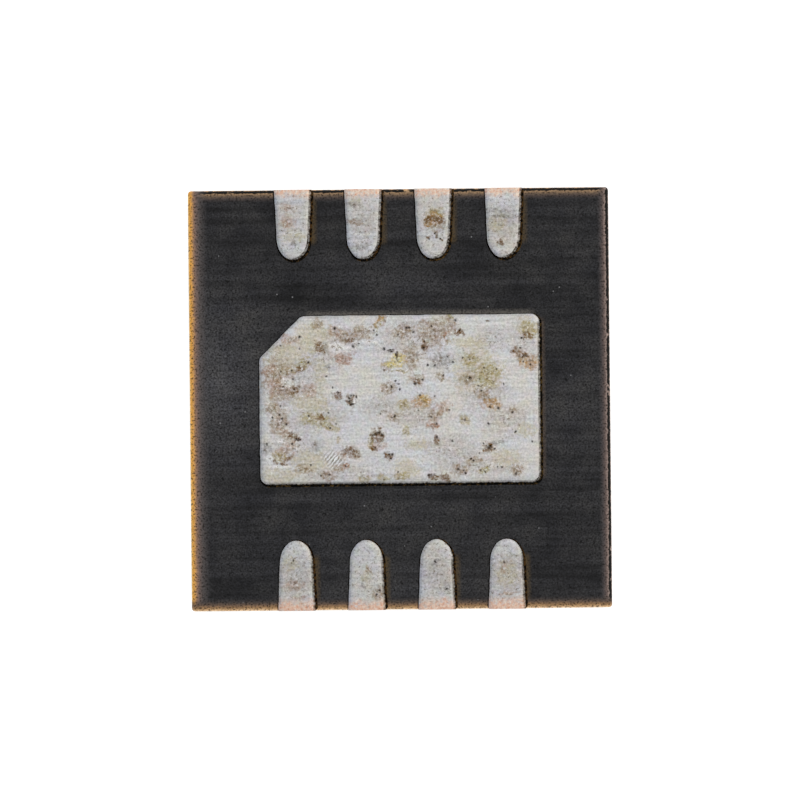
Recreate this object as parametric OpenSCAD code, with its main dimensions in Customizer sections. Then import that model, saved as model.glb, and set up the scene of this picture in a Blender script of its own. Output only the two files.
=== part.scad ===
// Reset controller chip in a dual flat no-lead package, with a lead along each
// place of two opposite sides and a thermal pad between the rows.
// It lies on its marked face with the soldering faces up, as it does in a
// tray before placing. X runs along the rows of leads, Y across them, and the
// origin is the middle of the marked face. Millimetres.

/* [Body] */
// Width of the moulded body, along the rows of leads
body_w = 3.0; // [2.6:0.05:5]
// Length of the moulded body, across the rows of leads
body_l = 3.0; // [2.8:0.05:5]
// Height from the marked face to the soldering faces
body_h = 0.75; // [0.65:0.05:1]
// How far the soldering faces stand proud of the moulded underside
standoff = 0.02; // [0.005:0.005:0.05]

/* [Pin one dot] */
// Diameter of the dot that marks pin one in the marked face
dot_d = 0.3; // [0.2:0.05:0.5]
// Depth of the dot
dot_depth = 0.02; // [0.01:0.005:0.04]
// Distance from the dot's middle to the two nearest sawn sides
dot_inset = 0.4; // [0.3:0.05:0.8]

/* [Lead frame] */
// Thickness of the copper sheet that the frame is etched from
frame_t = 0.2; // [0.15:0.01:0.25]
// Thickness that is left where the frame is half etched
half_etch_t = 0.1; // [0.06:0.01:0.13]

/* [Leads] */
// Distance between neighbouring leads in a row
pitch = 0.5; // [0.45:0.01:0.65]
// Width of a lead at the sawn side
lead_w = 0.265; // [0.2:0.005:0.3]
// Width of a lead where its arched tip begins
lead_tip_w = 0.235; // [0.15:0.005:0.3]
// Length of the arched tip
tip_rise = 0.16; // [0.155:0.005:0.2]
// Length of a lead's soldering face, from the sawn side to its tip
lead_len = 0.5; // [0.35:0.01:0.6]
// Width of the half etched ledge along the sides of a lead
ledge_w = 0.05; // [0.02:0.005:0.07]
// Distance from the sawn side to where the ledge begins
ledge_setback = 0.1; // [0.04:0.01:0.2]
// How far the half etched finger runs on past the soldering face
finger_len = 0.1; // [0.06:0.01:0.2]

/* [Thermal pad] */
// Width of the thermal pad's soldering face
pad_w = 2.0; // [1.4:0.05:2.3]
// Gap between the soldering faces of the thermal pad and of the leads
pad_gap = 0.4; // [0.33:0.01:0.5]
// Size of the chamfer that marks pin one
pad_chamfer = 0.3; // [0.1:0.01:0.4]
// Radius of the thermal pad's corners
pad_corner_r = 0.06; // [0.02:0.005:0.1]
// Width of the half etched rim round the thermal pad
rim_w = 0.1; // [0.03:0.01:0.14]
// Width of a tie bar
tie_w = 0.2; // [0.1:0.01:0.25]
// Distance between the middles of the two tie bars
tie_spacing = 0.6; // [0.4:0.02:0.8]

/* [Die] */
// Distance from the ends of the thermal pad to the die
die_end_margin = 0.35; // [0.2:0.01:0.45]
// Distance from the long sides of the thermal pad to the die
die_side_margin = 0.125; // [0.05:0.005:0.2]
// Thickness of the die
die_t = 0.2; // [0.12:0.01:0.25]
// Thickness of the adhesive under the die
glue_t = 0.025; // [0.01:0.005:0.05]
// How far the adhesive spreads past the die
glue_spread = 0.06; // [0.03:0.005:0.1]
// How far the adhesive climbs up the sides of the die
glue_climb = 0.08; // [0.02:0.01:0.11]
// Width of the adhesive's lip where the climb ends
glue_lip = 0.01; // [0.005:0.001:0.02]

/* [Bond wires] */
// Diameter of a bond wire
wire_d = 0.025; // [0.018:0.001:0.035]
// Height of the loop's crest, on the wire's middle line, above the die
loop_h = 0.13; // [0.1:0.005:0.17]
// Radius of the bend at the loop's crest
loop_r = 0.06; // [0.03:0.005:0.07]
// Diameter of the ball that bonds the wire to the die
ball_d = 0.07; // [0.05:0.005:0.09]
// Height of the ball
ball_h = 0.016; // [0.01:0.001:0.025]
// Distance between neighbouring balls
ball_pitch = 0.3; // [0.12:0.01:0.35]
// Distance from the edge of the die to the middle of a ball
ball_inset = 0.08; // [0.05:0.005:0.12]
// Width of the stitch that bonds the wire to the lead
stitch_w = 0.06; // [0.04:0.005:0.08]
// Length of the stitch
stitch_len = 0.05; // [0.03:0.005:0.08]
// Thickness of the stitch
stitch_t = 0.01; // [0.006:0.001:0.015]
// Distance from the tip of the lead's finger to the stitch
stitch_inset = 0.07; // [0.04:0.005:0.12]

/* [Hidden] */
leads_per_side = 4;
lead_count = 2 * leads_per_side;

$fn = 48;
mould_colour = "#2e2e31";
plating_colour = "#b4b1ab";
silicon_colour = "#4b5468";
glue_colour = "#9a9a98";
gold_colour = "#d9a92e";

// How far the cavities in the mould run out past the sawn sides
saw_overrun = 0.05;

// The thermal pad fills the length that the leads and the gaps leave
pad_l = body_l - 2 * (lead_len + pad_gap);
die_w = pad_w - 2 * die_end_margin;
die_l = pad_l - 2 * die_side_margin;
die_floor = frame_t + glue_t;
die_top = die_floor + die_t;

// Sides of a bond wire's section, and steps round the loop's bend
wire_sides = 8;
bend_steps = 4;
// Widths of the ball's foot and of its shoulder, as shares of its diameter
ball_foot = 0.86;
ball_shoulder = 0.8;

// Pins 1 to 4 are along the +Y side from -X to +X, and pins 5 to 8 come back along the -Y side
function in_first_row(pin) = pin <= leads_per_side;
function place_in_row(pin) = in_first_row(pin) ? pin - 1 : lead_count - pin;
function row_sign(pin) = in_first_row(pin) ? 1 : -1;
function row_x(pin, step) = (place_in_row(pin) - (leads_per_side - 1) / 2) * step;

function unit(v) = v / norm(v);

// The soldering faces are at depth 0, and depths grow towards the marked face
module by_depth() {
    translate([0, 0, body_h])
        mirror([0, 0, 1])
            children();
}

// A place in a row of leads: its origin is on the sawn side, and +Y points into the body
module lead_place(pin) {
    translate([row_x(pin, pitch), row_sign(pin) * body_l / 2])
        rotate(in_first_row(pin) ? 180 : 0)
            children();
}

// An arch on a flat foot: a small round apex that runs smoothly into two wider flanks
module arch(foot_w, rise) {
    half_w = foot_w / 2;
    apex_r = half_w * half_w / rise;
    apex_y = rise - apex_r;
    flank_r = (pow(half_w, 2) + pow(apex_y, 2) - pow(apex_r, 2)) / (2 * (half_w - apex_r));
    meet_y = apex_y * flank_r / (flank_r - apex_r);
    translate([0, apex_y])
        circle(apex_r);
    intersection() {
        translate([half_w - flank_r, 0])
            circle(flank_r);
        translate([flank_r - half_w, 0])
            circle(flank_r);
        translate([-half_w, 0])
            square([foot_w, meet_y]);
    }
}

// A tongue that narrows from its start to the foot of its arched tip
module tongue(start_w, tip_w, start, tip, rise) {
    foot = tip - rise;
    polygon([[-start_w / 2, start], [start_w / 2, start], [tip_w / 2, foot], [-tip_w / 2, foot]]);
    translate([0, foot])
        arch(tip_w, rise);
}

// A lead: a tongue of full thickness, with a half etched ledge that locks it into the mould
module lead_solid(pin, overrun = 0) {
    by_depth() {
        lead_place(pin) {
            linear_extrude(frame_t)
                tongue(lead_w, lead_tip_w, 0, lead_len, tip_rise);
            translate([0, 0, frame_t - half_etch_t])
                linear_extrude(half_etch_t)
                    tongue(lead_w + 2 * ledge_w, lead_tip_w + 2 * ledge_w,
                           ledge_setback, lead_len + finger_len, tip_rise + ledge_w);
            if (overrun > 0)
                translate([-lead_w / 2, -overrun, 0])
                    cube([lead_w, overrun, frame_t]);
        }
    }
}

// A convex outline with every corner rounded, from its corners in order
module rounded_outline(corners, r) {
    count = len(corners);
    turns = [for (i = [0 : count - 1])
        let (at = corners[i],
             back = unit(corners[(i + count - 1) % count] - at),
             on = unit(corners[(i + 1) % count] - at),
             half_angle = acos(back * on) / 2)
        [at + back * r / tan(half_angle),
         at + on * r / tan(half_angle),
         at + unit(back + on) * r / sin(half_angle)]];
    polygon([for (turn = turns) each [turn[0], turn[1]]]);
    for (turn = turns)
        translate(turn[2])
            circle(r);
}

// The thermal pad's outline, grown by a margin all round
module pad_outline(margin = 0) {
    half_w = pad_w / 2 + margin;
    half_l = pad_l / 2 + margin;
    chamfer = pad_chamfer + margin * (2 - sqrt(2));
    rounded_outline([[-half_w, -half_l], [half_w, -half_l], [half_w, half_l],
                     [chamfer - half_w, half_l], [-half_w, half_l - chamfer]],
                    pad_corner_r + margin);
}

// The paddle: the thermal pad, its half etched rim, and the tie bars that held it in the frame
module paddle_solid(overrun = 0) {
    by_depth() {
        linear_extrude(frame_t)
            pad_outline();
        translate([0, 0, frame_t - half_etch_t])
            linear_extrude(half_etch_t) {
                pad_outline(rim_w);
                for (side = [-1, 1])
                    translate([0, side * tie_spacing / 2])
                        square([body_w + 2 * overrun, tie_w], center = true);
            }
    }
}

module die_block(height) {
    translate([-die_w / 2, -die_l / 2, die_floor])
        cube([die_w, die_l, height]);
}

module die_solid() {
    by_depth()
        die_block(die_t);
}

// The adhesive: a film under the die that spreads past it and climbs its sides
module glue_solid() {
    foot = [die_w, die_l] + 2 * glue_spread * [1, 1];
    lip = [die_w, die_l] + 2 * glue_lip * [1, 1];
    by_depth()
        difference() {
            translate([0, 0, frame_t])
                linear_extrude(glue_t + glue_climb, scale = [lip.x / foot.x, lip.y / foot.y],
                               slices = 1, segments = 4)
                    square(foot, center = true);
            die_block(die_t + glue_climb);
        }
}

// One ring of a wire's skin: its place along the span and above the die, the wire's direction
// there, and its half width and half height across the flats
function ring(along, up, direction, half_w, half_h) = [along, up, direction, half_w, half_h];

// Rings of a wire from the ball up the neck, round the bend and down the span to the stitch
function wire_rings(span, drop) =
    let (r = wire_d / 2,
         ball_r = ball_d / 2,
         neck = loop_h - loop_r,
         landing = [span - wire_d, r - drop],
         reach = landing - [loop_r, neck],
         leave = atan2(reach.y, reach.x) + acos(loop_r / norm(reach)),
         flat = stitch_t / 2 - drop)
    [ring(0, 0, 90, ball_foot * ball_r, ball_foot * ball_r),
     ring(0, ball_h / 2, 90, ball_r, ball_r),
     ring(0, ball_h, 90, ball_shoulder * ball_r, ball_shoulder * ball_r),
     ring(0, ball_h + r, 90, r, r),
     for (i = [0 : bend_steps])
        let (a = 180 + (leave - 180) * i / bend_steps)
        ring(loop_r + loop_r * cos(a), neck + loop_r * sin(a), a - 90, r, r),
     ring(landing.x, landing.y, leave - 90, r, r),
     ring(span, flat, 0, stitch_w / 2, stitch_t / 2),
     ring(span + stitch_len, flat, 0, stitch_w / 2, stitch_t / 2)];

// The skin's points: each ring is a polygon whose flats lie on its half width and half height
function wire_points(rings) =
    let (corner = 180 / wire_sides)
    [for (at = rings)
        for (k = [0 : wire_sides - 1])
            let (a = corner + 360 * k / wire_sides,
                 across = at[3] * cos(a) / cos(corner),
                 rise = at[4] * sin(a) / cos(corner))
            [at[0] - rise * sin(at[2]), across, at[1] + rise * cos(at[2])]];

function wire_faces(ring_count) =
    let (last = (ring_count - 1) * wire_sides)
    [[for (k = [0 : wire_sides - 1]) k],
     [for (k = [wire_sides - 1 : -1 : 0]) last + k],
     for (j = [0 : ring_count - 2])
        for (k = [0 : wire_sides - 1])
            let (a = j * wire_sides + k,
                 b = j * wire_sides + (k + 1) % wire_sides)
            each [[a, a + wire_sides, b], [b, a + wire_sides, b + wire_sides]]];

// A bond wire, from its ball on the die to its stitch on the inner face of its lead
module wire_solid(pin) {
    ball = [row_x(pin, ball_pitch), row_sign(pin) * (die_l / 2 - ball_inset)];
    finger_tip = body_l / 2 - lead_len - finger_len;
    stitch = [row_x(pin, pitch), row_sign(pin) * (finger_tip + stitch_inset)];
    run = stitch - ball;
    rings = wire_rings(norm(run), die_top - frame_t);
    by_depth()
        translate([ball.x, ball.y, die_top])
            rotate(atan2(run.y, run.x))
                polyhedron(wire_points(rings), wire_faces(len(rings)));
}

// The moulded body: a sawn block that fills every space round the frame, the die and the wires
module mould_body() {
    color(mould_colour)
        difference() {
            translate([-body_w / 2, -body_l / 2, 0])
                cube([body_w, body_l, body_h - standoff]);
            paddle_solid(saw_overrun);
            glue_solid();
            die_solid();
            for (pin = [1 : lead_count]) {
                lead_solid(pin, saw_overrun);
                wire_solid(pin);
            }
            translate([dot_inset - body_w / 2, body_l / 2 - dot_inset, -saw_overrun])
                cylinder(d = dot_d, h = dot_depth + saw_overrun);
        }
}

module die_paddle() {
    color(plating_colour)
        paddle_solid();
}

module die_attach() {
    color(glue_colour)
        glue_solid();
}

module silicon_die() {
    color(silicon_colour)
        die_solid();
}

module lead(pin) {
    color(plating_colour)
        lead_solid(pin);
}

module bond_wire(pin) {
    color(gold_colour)
        wire_solid(pin);
}

mould_body();
die_paddle();
die_attach();
silicon_die();
for (pin = [1 : lead_count]) {
    lead(pin);
    bond_wire(pin);
}
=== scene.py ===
# %% [markdown]
# # A reset controller chip, soldering side up
#
# The chip is a sawn block of black resin, three millimetres square, with eight
# copper leads and a thermal pad showing in its face. This lesson models what
# the eye sees of it: the resin block with its worn rim, the leads and the
# paddle with soft etched edges, and the finish of each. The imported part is
# loaded first, as a fixed frame that says where every piece belongs.

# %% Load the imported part
import math
from contextlib import contextmanager
from functools import partial

import bmesh
import bpy
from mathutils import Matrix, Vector, noise


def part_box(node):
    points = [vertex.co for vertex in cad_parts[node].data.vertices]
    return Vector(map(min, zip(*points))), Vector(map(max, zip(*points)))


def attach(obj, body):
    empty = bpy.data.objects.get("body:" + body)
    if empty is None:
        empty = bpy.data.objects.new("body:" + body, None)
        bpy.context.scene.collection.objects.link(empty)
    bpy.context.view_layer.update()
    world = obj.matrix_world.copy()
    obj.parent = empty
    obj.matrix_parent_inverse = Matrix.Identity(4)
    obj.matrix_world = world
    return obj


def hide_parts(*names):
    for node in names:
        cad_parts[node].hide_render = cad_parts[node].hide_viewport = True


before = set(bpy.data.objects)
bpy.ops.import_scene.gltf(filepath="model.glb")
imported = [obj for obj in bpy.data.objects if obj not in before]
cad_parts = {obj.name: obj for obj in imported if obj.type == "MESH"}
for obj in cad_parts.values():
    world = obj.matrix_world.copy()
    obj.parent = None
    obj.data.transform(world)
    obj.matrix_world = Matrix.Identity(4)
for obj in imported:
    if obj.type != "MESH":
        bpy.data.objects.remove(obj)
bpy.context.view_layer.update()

print("nodes in the frame:", sorted(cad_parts))

# %% [markdown]
# ## Sizes
#
# The frame is in metres, and the chip is small, so sizes are written in
# millimetres times MM. What the frame can tell is read from its boxes. Only
# the steps of the etched copper, which a box doesn't show, are written out.

# %% Read the main planes from the frame
MM = 0.001
NEAR = 0.0004 * MM
LEDGE_T = 0.1 * MM

mould_low, mould_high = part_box("mould_body")
lead_low, lead_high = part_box("lead_1")
paddle_low, paddle_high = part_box("die_paddle")

half_w = mould_high.x
half_l = mould_high.y
mould_top = mould_high.z
solder_z = lead_high.z
inner_z = lead_low.z
ledge_top = inner_z + LEDGE_T

print("block, mm:", [round(side / MM, 3) for side in (2 * half_w, 2 * half_l, mould_top)])
print("copper, mm: from", round(inner_z / MM, 3), "to", round(solder_z / MM, 3))

# %% [markdown]
# ## Working by hand, in code
#
# Blender's operators act on what is selected, so every step here first says
# which piece is in hand and then picks vertices, edges or faces by their place.
# The chip's steps are a few hundredths of a millimetre, far below the distances
# at which Blender's tools take two points for one, so those are always given.

# %% Helpers that hold a piece and pick parts of it
def hold(piece):
    """Make one piece the active object and the only selected one."""
    bpy.ops.object.select_all(action="DESELECT")
    piece.select_set(True)
    bpy.context.view_layer.objects.active = piece


@contextmanager
def editing(piece):
    """Hold a piece in edit mode while the steps of a with block are taken."""
    hold(piece)
    bpy.ops.object.mode_set(mode="EDIT")
    yield
    bpy.ops.object.mode_set(mode="OBJECT")


def pick(kind, wanted):
    """In edit mode, select only the vertices, edges or faces that pass a test."""
    bpy.ops.mesh.select_mode(type=kind)
    bpy.ops.mesh.select_all(action="DESELECT")
    mesh = bmesh.from_edit_mesh(bpy.context.edit_object.data)
    parts = {"VERT": mesh.verts, "EDGE": mesh.edges, "FACE": mesh.faces}[kind]
    found = [part for part in parts if wanted(part)]
    for part in found:
        part.select_set(True)
    mesh.select_flush_mode()
    bmesh.update_edit_mesh(bpy.context.edit_object.data)
    return len(found)


def at_height(z):
    """A test for edges: both ends lie at one height."""
    return lambda edge: all(abs(vertex.co.z - z) < NEAR for vertex in edge.verts)


def combine(piece, other, operation):
    """Join another piece to this one, or take it away, and drop the other."""
    hold(piece)
    step = piece.modifiers.new("combine", "BOOLEAN")
    step.operation = operation
    step.solver = "MANIFOLD"
    step.object = other
    bpy.ops.object.modifier_apply(modifier=step.name)
    bpy.data.objects.remove(other)


def describe(piece):
    """Print how many triangles a piece has, and whether its skin is closed."""
    mesh = bmesh.new()
    mesh.from_mesh(piece.data)
    open_edges = sum(not edge.is_manifold for edge in mesh.edges)
    triangles = sum(len(face.verts) - 2 for face in mesh.faces)
    volume = mesh.calc_volume() / MM ** 3
    mesh.free()
    print(f"{piece.name}: {triangles} triangles, {open_edges} open edges, {volume:.4f} cubic mm")


# %% [markdown]
# ## A lead
#
# Each lead is a tongue etched out of copper sheet: straight where the saw cut
# it, arched at its tip, and a little narrower there. Below its soldering face
# the etch leaves a wider ledge, which locks the lead into the resin. A tongue
# could be a cube with a rounded end, but the true arch comes easier from a
# circle: half of it is deleted, the rest is drawn out into an arch, the two
# loose ends are pulled out to the straight end, and the outline is filled and
# given its thickness.

# %% One tongue of copper
TIP_SIDES = 24
SIDE_CUTS = 11


def tongue(name, middle_x, start_w, tip_w, start_y, tip_y, rise, low_z, high_z):
    """A flat tongue that points down -Y, from its straight start to its arched tip."""
    tip_r = tip_w / 2
    foot_y = tip_y + rise
    bpy.ops.object.select_all(action="DESELECT")
    bpy.ops.mesh.primitive_circle_add(vertices=2 * TIP_SIDES, radius=tip_r,
                                      location=(middle_x, foot_y, high_z))
    piece = bpy.context.object
    piece.name = name
    bpy.ops.object.transform_apply()
    with editing(piece):
        pick("VERT", lambda vertex: vertex.co.y > foot_y + NEAR)
        bpy.ops.mesh.delete(type="VERT")
        bpy.ops.mesh.select_all(action="SELECT")
        bpy.ops.transform.resize(value=(1, rise / tip_r, 1), center_override=(middle_x, foot_y, high_z))
        pick("VERT", lambda vertex: vertex.co.y > foot_y - NEAR)
        bpy.ops.mesh.extrude_vertices_move(TRANSFORM_OT_translate={"value": (0, start_y - foot_y, 0)})
        bpy.ops.transform.resize(value=(start_w / tip_w, 1, 1), center_override=(middle_x, start_y, high_z))
        pick("EDGE", lambda edge: edge.calc_length() > tip_r)
        bpy.ops.mesh.subdivide(number_cuts=SIDE_CUTS)
        bpy.ops.mesh.select_all(action="SELECT")
        bpy.ops.mesh.edge_face_add()
        bpy.ops.mesh.extrude_region_move(TRANSFORM_OT_translate={"value": (0, 0, low_z - high_z)})
        bpy.ops.mesh.select_all(action="SELECT")
        bpy.ops.mesh.normals_make_consistent(inside=False)
    return piece


# %% [markdown]
# The lead is two tongues made one: the narrow one that reaches the soldering
# face, and the wide, thin one of the ledge. The narrow one runs on past the
# block's side, as it did in the frame before the saw came.

# %% The first lead
LEDGE_W = 0.05 * MM
LEDGE_SETBACK = 0.1 * MM
FINGER = 0.1 * MM
TIP_NARROWING = 0.03 * MM
TIP_RISE = 0.16 * MM
SAW_OVERRUN = 0.05 * MM

lead_x = (lead_low.x + lead_high.x) / 2
lead_w = lead_high.x - lead_low.x - 2 * LEDGE_W
lead_tip_w = lead_w - TIP_NARROWING
lead_tip_y = lead_low.y + FINGER
taper = TIP_NARROWING / (half_l - lead_tip_y - TIP_RISE)

first_lead = tongue("soldering_lead_1", lead_x, lead_w + taper * SAW_OVERRUN, lead_tip_w,
                    half_l + SAW_OVERRUN, lead_tip_y, TIP_RISE, inner_z, solder_z)
ledge = tongue("ledge", lead_x, lead_w + 2 * LEDGE_W, lead_tip_w + 2 * LEDGE_W,
               half_l - LEDGE_SETBACK, lead_low.y, TIP_RISE + LEDGE_W, inner_z, ledge_top)
combine(first_lead, ledge, "UNION")
describe(first_lead)

# %% [markdown]
# The other seven leads are copies, each with a mesh of its own. Leads 2 to 4
# stand beside the first, and leads 5 to 8 come from turning that row half a
# turn about the middle of the chip.

# %% Eight leads
leads = {1: first_lead}
for pin in range(2, 9):
    low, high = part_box(f"lead_{pin}")
    hold(first_lead)
    bpy.ops.object.duplicate()
    copy = bpy.context.object
    copy.name = f"soldering_lead_{pin}"
    if high.y < 0:
        bpy.ops.transform.rotate(value=math.pi, orient_axis="Z", center_override=(0, 0, 0))
        bpy.ops.object.transform_apply()
    edges = [corner[0] for corner in copy.bound_box]
    middle = (min(edges) + max(edges)) / 2
    bpy.ops.transform.translate(value=((low.x + high.x) / 2 - middle, 0, 0))
    bpy.ops.object.transform_apply()
    leads[pin] = copy
print("leads:", len(leads))

# %% [markdown]
# Acid etches copper a little unevenly, so the outline of a soldering face
# wanders by two or three micrometres, on no two leads alike. The tin then runs
# thinner towards the edge, which leaves the face slightly crowned. A bevel
# would be too round for that, so the face is sunk and raised again in rings,
# each flatter than the one outside it. The saw comes last and cuts the lead off
# flush with the block's side.

# %% Etch, crown and saw
ETCH_WANDER = 0.003 * MM
ETCH_GRAIN = 0.06 * MM
CROWN_RINGS = ((0.006, 0.004), (0.010, 0.004), (0.012, 0.002), (0.014, 0.001))


def etch_outline(piece, z, seed):
    """In edit mode, let the outline at one height wander sideways as an etched edge does."""
    mesh = bmesh.from_edit_mesh(piece.data)
    for vertex in mesh.verts:
        if abs(vertex.co.z - z) < NEAR:
            place = vertex.co / ETCH_GRAIN
            vertex.co.x += ETCH_WANDER * noise.noise(place + Vector((0, 0, seed)))
            vertex.co.y += ETCH_WANDER * noise.noise(place + Vector((0, 0, seed + 5)))
    bmesh.update_edit_mesh(piece.data)


def crown_face():
    """In edit mode, sink the soldering face and raise it again in rings, given as width and rise in mm."""
    faces = pick("FACE", lambda face: face.normal.z > 0.9 and face.calc_center_median().z > solder_z - NEAR)
    bpy.ops.transform.translate(value=(0, 0, -sum(rise for width, rise in CROWN_RINGS) * MM))
    for width, rise in CROWN_RINGS:
        bpy.ops.mesh.inset(thickness=width * MM, depth=rise * MM)
    return faces


def cut_through(place, way, drop=False):
    """In edit mode, cut along a plane, and where it is to drop, take off what lies past the plane."""
    bpy.ops.mesh.select_all(action="SELECT")
    bpy.ops.mesh.bisect(plane_co=place, plane_no=way, use_fill=drop, clear_outer=drop, threshold=NEAR)


for pin, lead in leads.items():
    saw_side = math.copysign(1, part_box(f"lead_{pin}")[0].y)
    with editing(lead):
        etch_outline(lead, solder_z, 10 * pin)
        crown_face()
        cut_through((0, saw_side * half_l, 0), (0, saw_side, 0), drop=True)
    describe(lead)

# %% [markdown]
# ## The paddle
#
# The die sits on a copper paddle, and the paddle's other face is the thermal
# pad: a plate with three round corners and one cut corner that marks pin one.
# The etch leaves a thin rim round it, and from the rim two tie bars run each
# way to the sides, where the saw parted them from the frame. A cube is enough
# to start from. Its corners are bevelled, the lower half of its side is pushed
# out into the rim, and two bars that lie right across the chip are joined to it.
# A cut just under the soldering face then keeps the wandering outline to a
# narrow band, and the wall below it stays straight.

# %% The plate and its corners
PAD_W = 2.0 * MM
PAD_CHAMFER = 0.3 * MM
CHAMFER_TURN = 45
PAD_CORNER_R = 0.06 * MM
CORNER_STEPS = 6
RIM_W = 0.1 * MM

pad_l = paddle_high.y - paddle_low.y - 2 * RIM_W
pad_t = solder_z - inner_z


def slab(name, size, middle):
    """A cube of a size at a place, with both put into its mesh."""
    bpy.ops.object.select_all(action="DESELECT")
    bpy.ops.mesh.primitive_cube_add(size=1, location=middle, scale=size)
    bpy.ops.object.transform_apply()
    bpy.context.object.name = name
    return bpy.context.object


def upright(edge):
    """A test for edges: the edge stands along Z."""
    low, high = edge.verts
    return abs(low.co.x - high.co.x) < NEAR and abs(low.co.y - high.co.y) < NEAR


def marks_pin_one(edge):
    """A test for edges: the edge lies in the quarter of pin one."""
    return all(vertex.co.x < 0 < vertex.co.y for vertex in edge.verts)


paddle = slab("thermal_pad", (PAD_W, pad_l, pad_t), (0, 0, inner_z + pad_t / 2))
blunt_trim = PAD_CORNER_R * math.tan(math.radians(CHAMFER_TURN / 2))
with editing(paddle):
    pick("EDGE", lambda edge: upright(edge) and marks_pin_one(edge))
    bpy.ops.mesh.bevel(offset=PAD_CHAMFER, segments=1)
    for trim, at_chamfer in ((PAD_CORNER_R, False), (blunt_trim, True)):
        pick("EDGE", lambda edge: upright(edge) and edge.calc_length() > pad_t - NEAR
             and marks_pin_one(edge) == at_chamfer)
        bpy.ops.mesh.bevel(offset=trim, segments=CORNER_STEPS, profile=0.5)
    print("upright edges after rounding:", pick("EDGE", upright))

# %% The half etched rim and the tie bars
TIE_W = 0.2 * MM
TIE_SPACING = 0.6 * MM

with editing(paddle):
    cut_through((0, 0, ledge_top), (0, 0, 1))
    pick("FACE", lambda face: abs(face.normal.z) < 0.1 and face.calc_center_median().z < ledge_top)
    bpy.ops.mesh.extrude_region_shrink_fatten(
        TRANSFORM_OT_shrink_fatten={"value": RIM_W, "use_even_offset": True})

bar_t = ledge_top - inner_z
for side in (-1, 1):
    bar = slab("tie_bar", (2 * half_w, TIE_W, bar_t), (0, side * TIE_SPACING / 2, inner_z + bar_t / 2))
    combine(paddle, bar, "UNION")
describe(paddle)

# %% The wandering outline and crowned face of the thermal pad
LONG_EDGE = 0.2 * MM
PAD_CUTS = 29
ETCHED_BAND = 0.03 * MM

band_z = solder_z - ETCHED_BAND
with editing(paddle):
    cut_through((0, 0, band_z), (0, 0, 1))
    pick("EDGE", lambda edge: edge.calc_length() > LONG_EDGE
         and (at_height(solder_z)(edge) or at_height(band_z)(edge)))
    bpy.ops.mesh.subdivide(number_cuts=PAD_CUTS)
    etch_outline(paddle, solder_z, 0)
    print("faces crowned on the pad:", crown_face())
describe(paddle)

# %% [markdown]
# ## The resin block
#
# Resin was pressed round the frame, the die and the wires while they hung in
# the mould, and a saw then cut the sheet into blocks. So the block is made the
# same way: a cube of the block's size, from which everything inside it is taken
# away. Its rim is worn first. The saw leaves the upper edges slightly broken,
# so they are bevelled, cut into short lengths, and chipped inwards.

# %% The sawn block and its worn rim
CORNER_BREAK = 0.024 * MM
RIM_BREAK = 0.016 * MM
DOT_INSET = 0.4 * MM
RIM_CUTS = 140
CHIP = 0.009 * MM
CHIP_GRAIN = 0.05 * MM
FINE_CHIP_GRAIN = 0.02 * MM
FINE_WEAR = 0.6
DEEP_WEAR = 1.2

rim_floor = mould_top - RIM_BREAK - NEAR


def in_rim(vertex):
    """A test for vertices: the vertex lies in the bevel of the upper edges."""
    return vertex.co.z > rim_floor


def at_corner(place):
    """A test for places: the place lies in the bevel of an upright edge."""
    return abs(place.x) > half_w - CORNER_BREAK - NEAR and abs(place.y) > half_l - CORNER_BREAK - NEAR


def worn(place):
    """How far the rim is worn back at a place, from nothing to a deep chip. A corner wears as one."""
    if at_corner(place):
        place = Vector((math.copysign(half_w, place.x), math.copysign(half_l, place.y), mould_top))
    coarse = max(0.0, noise.noise(place / CHIP_GRAIN))
    fine = 0.5 + 0.5 * noise.noise(place / FINE_CHIP_GRAIN)
    return CHIP * (FINE_WEAR * fine + DEEP_WEAR * coarse ** 2)


def wear_back(vertex):
    """Wear a point of the rim back: inwards on the face, down on the wall, and half of each between."""
    x, y, z = vertex.co
    depth = worn(vertex.co)
    on_top = z > mould_top - NEAR
    on_wall = z < mould_top - RIM_BREAK + NEAR
    if not on_wall:
        inward = depth if on_top else depth / 2
        if abs(x) > half_w - RIM_BREAK - NEAR:
            vertex.co.x -= math.copysign(inward, x)
        if abs(y) > half_l - RIM_BREAK - NEAR:
            vertex.co.y -= math.copysign(inward, y)
    if not on_top:
        vertex.co.z -= depth if on_wall else depth / 2


block = slab("resin_block", (2 * half_w, 2 * half_l, mould_top), (0, 0, mould_top / 2))
with editing(block):
    pick("EDGE", upright)
    bpy.ops.mesh.bevel(offset=CORNER_BREAK, segments=3, profile=0.5)
    for z in (0, mould_top):
        pick("EDGE", at_height(z))
        bpy.ops.mesh.bevel(offset=RIM_BREAK, segments=2, profile=0.5)
    pick("EDGE", lambda edge: edge.calc_length() > half_w and all(map(in_rim, edge.verts)))
    bpy.ops.mesh.subdivide(number_cuts=RIM_CUTS)
    rim = list(filter(in_rim, bmesh.from_edit_mesh(block.data).verts))
    for vertex in rim:
        wear_back(vertex)
    bmesh.update_edit_mesh(block.data)
    for middle_y in (0, half_l - DOT_INSET):
        cut_through((0, middle_y, 0), (0, 1, 0))
print("rim points worn back:", len(rim))
describe(block)

# %% [markdown]
# The tools that cut the block are the pieces themselves. Copies of the leads
# and the paddle have their sawn ends pulled out past the sides, so that each
# cut runs clean through, and copies of the die, its adhesive and the wires
# make the hollow that they lie in. Resin shrinks as it sets and draws back from
# the metal, so the copies are flared where they come out of it, which leaves a
# hairline groove round every lead and round the pad. The groove is wider on the
# right and below, where the jet struck that washed the flash off. A shallow
# disc makes the dot that marks pin one in the other face.

# %% Cut the block round what it holds
GROOVE_W = 0.013 * MM
GROOVE_LEAN = Vector((0.005, -0.007, 0)) * MM
GROOVE_DEPTH = 0.012 * MM
DOT_R = 0.15 * MM
DOT_DEPTH = 0.02 * MM
DOT_SIDES = 48
MERGE = 0.001 * MM


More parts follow.
